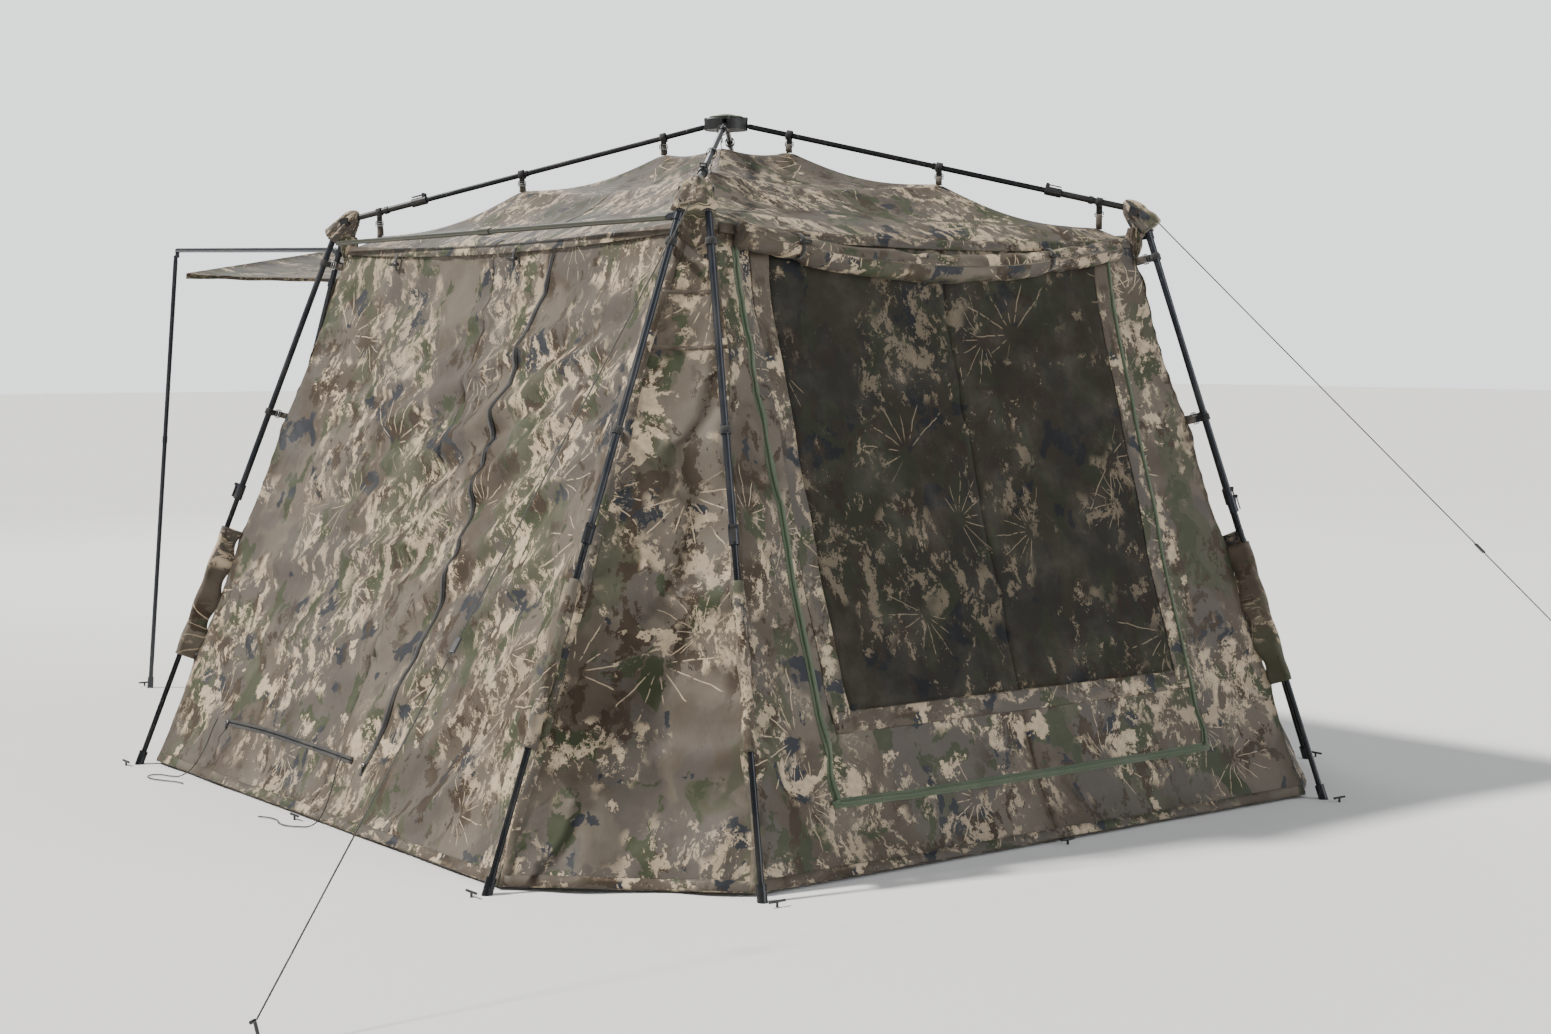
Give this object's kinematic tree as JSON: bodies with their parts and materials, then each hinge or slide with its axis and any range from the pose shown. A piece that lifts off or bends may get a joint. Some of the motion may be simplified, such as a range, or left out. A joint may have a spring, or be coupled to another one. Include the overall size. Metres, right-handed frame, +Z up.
{
  "type": "pop up ground blind",
  "caption": "Camouflage hub frame shelter with eight telescopic legs, a mesh window, a zipped side door and an awning over its rear doorway.",
  "frame": {"origin": "centre of the footprint of the shelter and its awning, on the ground; the cords are left out", "axes": "+Z up, +Y from the window side to the awning side, +X to the right seen from the window side"},
  "size_m": [5.3881, 4.8863, 2.183],
  "materials": {
    "camo_fabric": "satin printed polyester, water resistant",
    "window_mesh": "fine printed mesh",
    "frame_tube": "dark satin powder coat",
    "inner_tube": "dark anodised",
    "black_plastic": "moulded black nylon",
    "corner_fitting": "moulded dark nylon",
    "steel_peg": "dark coated steel",
    "guy_cord": "braided cord",
    "olive_bar": "olive powder coat"
  },
  "bodies": {
    "root": {"hub_body": "black_plastic", "hub_cap": "black_plastic", "roof_skin": "camo_fabric", "front_wall": "camo_fabric", "front_window_mesh": "window_mesh", "left_wall": "camo_fabric", "right_wall": "camo_fabric", "rear_wall": "camo_fabric", "corner_panels": "camo_fabric", "front_flap_roll": "camo_fabric", "ground_pegs": "steel_peg", "guy_line_left": "guy_cord", "guy_line_right": "guy_cord", "guy_hardware": "steel_peg", "door_tie_rear": "guy_cord", "door_tie_front": "guy_cord"},
    "arm_front_left": {"roof_arm_front_left": "inner_tube"},
    "corner_front_left": {"corner_joint_front_left": "corner_fitting"},
    "arm_lever_front_left": {"arm_lever_front_left": "black_plastic"},
    "leg_front_left_side": {"leg_upper_front_left_side": "frame_tube"},
    "foot_front_left_side": {"leg_lower_front_left_side": "inner_tube"},
    "leg_lever_front_left_side": {"leg_lever_front_left_side": "black_plastic"},
    "leg_front_left_end": {"leg_upper_front_left_end": "frame_tube"},
    "foot_front_left_end": {"leg_lower_front_left_end": "inner_tube"},
    "leg_lever_front_left_end": {"leg_lever_front_left_end": "black_plastic"},
    "arm_rear_left": {"roof_arm_rear_left": "inner_tube"},
    "corner_rear_left": {"corner_joint_rear_left": "corner_fitting"},
    "arm_lever_rear_left": {"arm_lever_rear_left": "black_plastic"},
    "leg_rear_left_side": {"leg_upper_rear_left_side": "frame_tube"},
    "foot_rear_left_side": {"leg_lower_rear_left_side": "inner_tube"},
    "leg_lever_rear_left_side": {"leg_lever_rear_left_side": "black_plastic"},
    "leg_rear_left_end": {"leg_upper_rear_left_end": "frame_tube"},
    "foot_rear_left_end": {"leg_lower_rear_left_end": "inner_tube"},
    "leg_lever_rear_left_end": {"leg_lever_rear_left_end": "black_plastic"},
    "arm_front_right": {"roof_arm_front_right": "inner_tube"},
    "corner_front_right": {"corner_joint_front_right": "corner_fitting"},
    "arm_lever_front_right": {"arm_lever_front_right": "black_plastic"},
    "leg_front_right_side": {"leg_upper_front_right_side": "frame_tube"},
    "foot_front_right_side": {"leg_lower_front_right_side": "inner_tube"},
    "leg_lever_front_right_side": {"leg_lever_front_right_side": "black_plastic"},
    "leg_front_right_end": {"leg_upper_front_right_end": "frame_tube"},
    "foot_front_right_end": {"leg_lower_front_right_end": "inner_tube"},
    "leg_lever_front_right_end": {"leg_lever_front_right_end": "black_plastic"},
    "arm_rear_right": {"roof_arm_rear_right": "inner_tube"},
    "corner_rear_right": {"corner_joint_rear_right": "corner_fitting"},
    "arm_lever_rear_right": {"arm_lever_rear_right": "black_plastic"},
    "leg_rear_right_side": {"leg_upper_rear_right_side": "frame_tube"},
    "foot_rear_right_side": {"leg_lower_rear_right_side": "inner_tube"},
    "leg_lever_rear_right_side": {"leg_lever_rear_right_side": "black_plastic"},
    "leg_rear_right_end": {"leg_upper_rear_right_end": "frame_tube"},
    "foot_rear_right_end": {"leg_lower_rear_right_end": "inner_tube"},
    "leg_lever_rear_right_end": {"leg_lever_rear_right_end": "black_plastic"},
    "bar_left": {"cross_bar_left": "olive_bar"},
    "bar_right": {"cross_bar_right": "olive_bar"},
    "bar_rear": {"cross_bar_rear": "olive_bar"},
    "awning_left": {"awning_arm_left": "frame_tube", "awning_sheet": "camo_fabric"},
    "pole_left": {"storm_pole_left": "frame_tube"},
    "awning_right": {"awning_arm_right": "frame_tube"},
    "pole_right": {"storm_pole_right": "frame_tube"}
  },
  "joints": [
    {"name": "frame_fold", "type": "hinge", "parent": "root", "child": "arm_front_left", "pos_m": [-0.03694, -0.61821, 2.145], "axis": [0.7709, -0.6369, 0], "range_deg": [0, 74], "deforming": ["roof_skin", "front_wall", "front_window_mesh", "left_wall", "right_wall", "rear_wall", "corner_panels", "front_flap_roll"]},
    {"name": "front_left_arm_slide", "type": "slide", "parent": "arm_front_left", "child": "corner_front_left", "axis": [0.6209, 0.7516, 0.2226], "range_m": [0, 0.221]},
    {"name": "arm_lever_front_left_flip", "type": "hinge", "parent": "corner_front_left", "child": "arm_lever_front_left", "pos_m": [-0.68556, -1.40335, 1.93304], "axis": [-0.7709, 0.6369, 0], "range_deg": [0, 100]},
    {"name": "leg_hinge_front_left_side", "type": "hinge", "parent": "corner_front_left", "child": "leg_front_left_side", "pos_m": [-0.90578, -1.61967, 1.82443], "axis": [-0.7892, 0.5511, 0.2711], "range_deg": [0, 58.55]},
    {"name": "leg_slide_front_left_side", "type": "slide", "parent": "leg_front_left_side", "child": "foot_front_left_side", "axis": [0.3612, 0.0596, 0.9306], "range_m": [0, 0.83828]},
    {"name": "leg_lever_front_left_side_flip", "type": "hinge", "parent": "leg_front_left_side", "child": "leg_lever_front_left_side", "pos_m": [-1.2633, -1.69251, 0.93757], "axis": [-0.7464, 0.6166, 0.2503], "range_deg": [0, 100]},
    {"name": "leg_hinge_front_left_end", "type": "hinge", "parent": "corner_front_left", "child": "leg_front_left_end", "pos_m": [-0.85644, -1.66044, 1.82443], "axis": [-0.7467, 0.6566, -0.1067], "range_deg": [0, 56.17]},
    {"name": "leg_slide_front_left_end", "type": "slide", "parent": "leg_front_left_end", "child": "foot_front_left_end", "axis": [0.1249, 0.2959, 0.947], "range_m": [0, 0.82125]},
    {"name": "leg_lever_front_left_end_flip", "type": "hinge", "parent": "leg_front_left_end", "child": "leg_lever_front_left_end", "pos_m": [-0.98662, -1.9534, 0.9387], "axis": [-0.7673, 0.6339, -0.0969], "range_deg": [0, 100]},
    {"name": "arm_rear_left_hinge", "type": "hinge", "parent": "root", "child": "arm_rear_left", "pos_m": [-0.03694, -0.52878, 2.145], "axis": [-0.7709, -0.6369, 0], "range_deg": [0, 74]},
    {"name": "rear_left_arm_slide", "type": "slide", "parent": "arm_rear_left", "child": "corner_rear_left", "axis": [0.6209, -0.7516, 0.2226], "range_m": [0, 0.221]},
    {"name": "arm_lever_rear_left_flip", "type": "hinge", "parent": "corner_rear_left", "child": "arm_lever_rear_left", "pos_m": [-0.68556, 0.25635, 1.93304], "axis": [0.7709, 0.6369, 0], "range_deg": [0, 100]},
    {"name": "leg_hinge_rear_left_side", "type": "hinge", "parent": "corner_rear_left", "child": "leg_rear_left_side", "pos_m": [-0.90578, 0.47267, 1.82443], "axis": [0.7892, 0.5511, -0.2711], "range_deg": [0, 58.55]},
    {"name": "leg_slide_rear_left_side", "type": "slide", "parent": "leg_rear_left_side", "child": "foot_rear_left_side", "axis": [0.3612, -0.0596, 0.9306], "range_m": [0, 0.83828]},
    {"name": "leg_lever_rear_left_side_flip", "type": "hinge", "parent": "leg_rear_left_side", "child": "leg_lever_rear_left_side", "pos_m": [-1.2633, 0.54551, 0.93757], "axis": [0.7464, 0.6166, -0.2503], "range_deg": [0, 100]},
    {"name": "leg_hinge_rear_left_end", "type": "hinge", "parent": "corner_rear_left", "child": "leg_rear_left_end", "pos_m": [-0.85644, 0.51344, 1.82443], "axis": [0.7467, 0.6566, 0.1067], "range_deg": [0, 56.17]},
    {"name": "leg_slide_rear_left_end", "type": "slide", "parent": "leg_rear_left_end", "child": "foot_rear_left_end", "axis": [0.1249, -0.2959, 0.947], "range_m": [0, 0.82125]},
    {"name": "leg_lever_rear_left_end_flip", "type": "hinge", "parent": "leg_rear_left_end", "child": "leg_lever_rear_left_end", "pos_m": [-0.98662, 0.8064, 0.9387], "axis": [0.7673, 0.6339, 0.0969], "range_deg": [0, 100]},
    {"name": "arm_front_right_hinge", "type": "hinge", "parent": "root", "child": "arm_front_right", "pos_m": [0.03694, -0.61821, 2.145], "axis": [0.7709, 0.6369, 0], "range_deg": [0, 74]},
    {"name": "front_right_arm_slide", "type": "slide", "parent": "arm_front_right", "child": "corner_front_right", "axis": [-0.6209, 0.7516, 0.2226], "range_m": [0, 0.221]},
    {"name": "arm_lever_front_right_flip", "type": "hinge", "parent": "corner_front_right", "child": "arm_lever_front_right", "pos_m": [0.68556, -1.40335, 1.93304], "axis": [-0.7709, -0.6369, 0], "range_deg": [0, 100]},
    {"name": "leg_hinge_front_right_side", "type": "hinge", "parent": "corner_front_right", "child": "leg_front_right_side", "pos_m": [0.90578, -1.61967, 1.82443], "axis": [-0.7892, -0.5511, -0.2711], "range_deg": [0, 58.55]},
    {"name": "leg_slide_front_right_side", "type": "slide", "parent": "leg_front_right_side", "child": "foot_front_right_side", "axis": [-0.3612, 0.0596, 0.9306], "range_m": [0, 0.83828]},
    {"name": "leg_lever_front_right_side_flip", "type": "hinge", "parent": "leg_front_right_side", "child": "leg_lever_front_right_side", "pos_m": [1.2633, -1.69251, 0.93757], "axis": [-0.7464, -0.6166, -0.2503], "range_deg": [0, 100]},
    {"name": "leg_hinge_front_right_end", "type": "hinge", "parent": "corner_front_right", "child": "leg_front_right_end", "pos_m": [0.85644, -1.66044, 1.82443], "axis": [-0.7467, -0.6566, 0.1067], "range_deg": [0, 56.17]},
    {"name": "leg_slide_front_right_end", "type": "slide", "parent": "leg_front_right_end", "child": "foot_front_right_end", "axis": [-0.1249, 0.2959, 0.947], "range_m": [0, 0.82125]},
    {"name": "leg_lever_front_right_end_flip", "type": "hinge", "parent": "leg_front_right_end", "child": "leg_lever_front_right_end", "pos_m": [0.98662, -1.9534, 0.9387], "axis": [-0.7673, -0.6339, 0.0969], "range_deg": [0, 100]},
    {"name": "arm_rear_right_hinge", "type": "hinge", "parent": "root", "child": "arm_rear_right", "pos_m": [0.03694, -0.52878, 2.145], "axis": [-0.7709, 0.6369, 0], "range_deg": [0, 74]},
    {"name": "rear_right_arm_slide", "type": "slide", "parent": "arm_rear_right", "child": "corner_rear_right", "axis": [-0.6209, -0.7516, 0.2226], "range_m": [0, 0.221]},
    {"name": "arm_lever_rear_right_flip", "type": "hinge", "parent": "corner_rear_right", "child": "arm_lever_rear_right", "pos_m": [0.68556, 0.25635, 1.93304], "axis": [0.7709, -0.6369, 0], "range_deg": [0, 100]},
    {"name": "leg_hinge_rear_right_side", "type": "hinge", "parent": "corner_rear_right", "child": "leg_rear_right_side", "pos_m": [0.90578, 0.47267, 1.82443], "axis": [0.7892, -0.5511, 0.2711], "range_deg": [0, 58.55]},
    {"name": "leg_slide_rear_right_side", "type": "slide", "parent": "leg_rear_right_side", "child": "foot_rear_right_side", "axis": [-0.3612, -0.0596, 0.9306], "range_m": [0, 0.83828]},
    {"name": "leg_lever_rear_right_side_flip", "type": "hinge", "parent": "leg_rear_right_side", "child": "leg_lever_rear_right_side", "pos_m": [1.2633, 0.54551, 0.93757], "axis": [0.7464, -0.6166, 0.2503], "range_deg": [0, 100]},
    {"name": "leg_hinge_rear_right_end", "type": "hinge", "parent": "corner_rear_right", "child": "leg_rear_right_end", "pos_m": [0.85644, 0.51344, 1.82443], "axis": [0.7467, -0.6566, -0.1067], "range_deg": [0, 56.17]},
    {"name": "leg_slide_rear_right_end", "type": "slide", "parent": "leg_rear_right_end", "child": "foot_rear_right_end", "axis": [-0.1249, -0.2959, 0.947], "range_m": [0, 0.82125]},
    {"name": "leg_lever_rear_right_end_flip", "type": "hinge", "parent": "leg_rear_right_end", "child": "leg_lever_rear_right_end", "pos_m": [0.98662, 0.8064, 0.9387], "axis": [0.7673, -0.6339, -0.0969], "range_deg": [0, 100]},
    {"name": "cross_bar_left_hinge", "type": "hinge", "parent": "leg_front_left_side", "child": "bar_left", "pos_m": [-0.92891, -1.58943, 1.76485], "axis": [-0.9322, 0, 0.3619], "range_deg": [0, 93.42]},
    {"name": "cross_bar_right_hinge", "type": "hinge", "parent": "leg_front_right_side", "child": "bar_right", "pos_m": [0.92891, -1.58943, 1.76485], "axis": [-0.9322, 0, -0.3619], "range_deg": [0, 93.42]},
    {"name": "cross_bar_rear_hinge", "type": "hinge", "parent": "leg_rear_left_end", "child": "bar_rear", "pos_m": [-0.8483, 0.57536, 1.62624], "axis": [0, 0.9545, 0.2982], "range_deg": [0, 97.17]},
    {"name": "awning_fold", "type": "hinge", "parent": "leg_rear_left_end", "child": "awning_left", "pos_m": [-0.86638, 0.57887, 1.74904], "axis": [-1, 0, 0], "range_deg": [0, 68], "deforming": ["awning_sheet"]},
    {"name": "pole_left_hinge", "type": "hinge", "parent": "awning_left", "child": "pole_left", "pos_m": [-0.8, 2.1425, 1.774], "axis": [0, -1, 0], "range_deg": [0, 90]},
    {"name": "awning_right_hinge", "type": "hinge", "parent": "leg_rear_right_end", "child": "awning_right", "pos_m": [0.86545, 0.60179, 1.75608], "axis": [-1, 0, 0], "range_deg": [0, 68]},
    {"name": "pole_right_hinge", "type": "hinge", "parent": "awning_right", "child": "pole_right", "pos_m": [0.8, 2.1105, 1.75], "axis": [0, 1, 0], "range_deg": [0, 90]}
  ],
  "couplings": [
    {"joint": "front_left_arm_slide", "follows": "frame_fold", "m_per_rad": 0.17111},
    {"joint": "leg_hinge_front_left_side", "follows": "frame_fold", "ratio": 0.79115},
    {"joint": "leg_hinge_front_left_end", "follows": "frame_fold", "ratio": 0.75901},
    {"joint": "arm_rear_left_hinge", "follows": "frame_fold", "ratio": 1},
    {"joint": "rear_left_arm_slide", "follows": "frame_fold", "m_per_rad": 0.17111},
    {"joint": "leg_hinge_rear_left_side", "follows": "frame_fold", "ratio": 0.79115},
    {"joint": "leg_hinge_rear_left_end", "follows": "frame_fold", "ratio": 0.75901},
    {"joint": "arm_front_right_hinge", "follows": "frame_fold", "ratio": 1},
    {"joint": "front_right_arm_slide", "follows": "frame_fold", "m_per_rad": 0.17111},
    {"joint": "leg_hinge_front_right_side", "follows": "frame_fold", "ratio": 0.79115},
    {"joint": "leg_hinge_front_right_end", "follows": "frame_fold", "ratio": 0.75901},
    {"joint": "arm_rear_right_hinge", "follows": "frame_fold", "ratio": 1},
    {"joint": "rear_right_arm_slide", "follows": "frame_fold", "m_per_rad": 0.17111},
    {"joint": "leg_hinge_rear_right_side", "follows": "frame_fold", "ratio": 0.79115},
    {"joint": "leg_hinge_rear_right_end", "follows": "frame_fold", "ratio": 0.75901},
    {"joint": "cross_bar_left_hinge", "follows": "frame_fold", "ratio": 1.2624},
    {"joint": "cross_bar_right_hinge", "follows": "frame_fold", "ratio": 1.2624},
    {"joint": "cross_bar_rear_hinge", "follows": "frame_fold", "ratio": 1.3131},
    {"joint": "pole_left_hinge", "follows": "awning_fold", "ratio": 1.3235},
    {"joint": "awning_right_hinge", "follows": "awning_fold", "ratio": 1},
    {"joint": "pole_right_hinge", "follows": "awning_fold", "ratio": 1.3235}
  ]
}
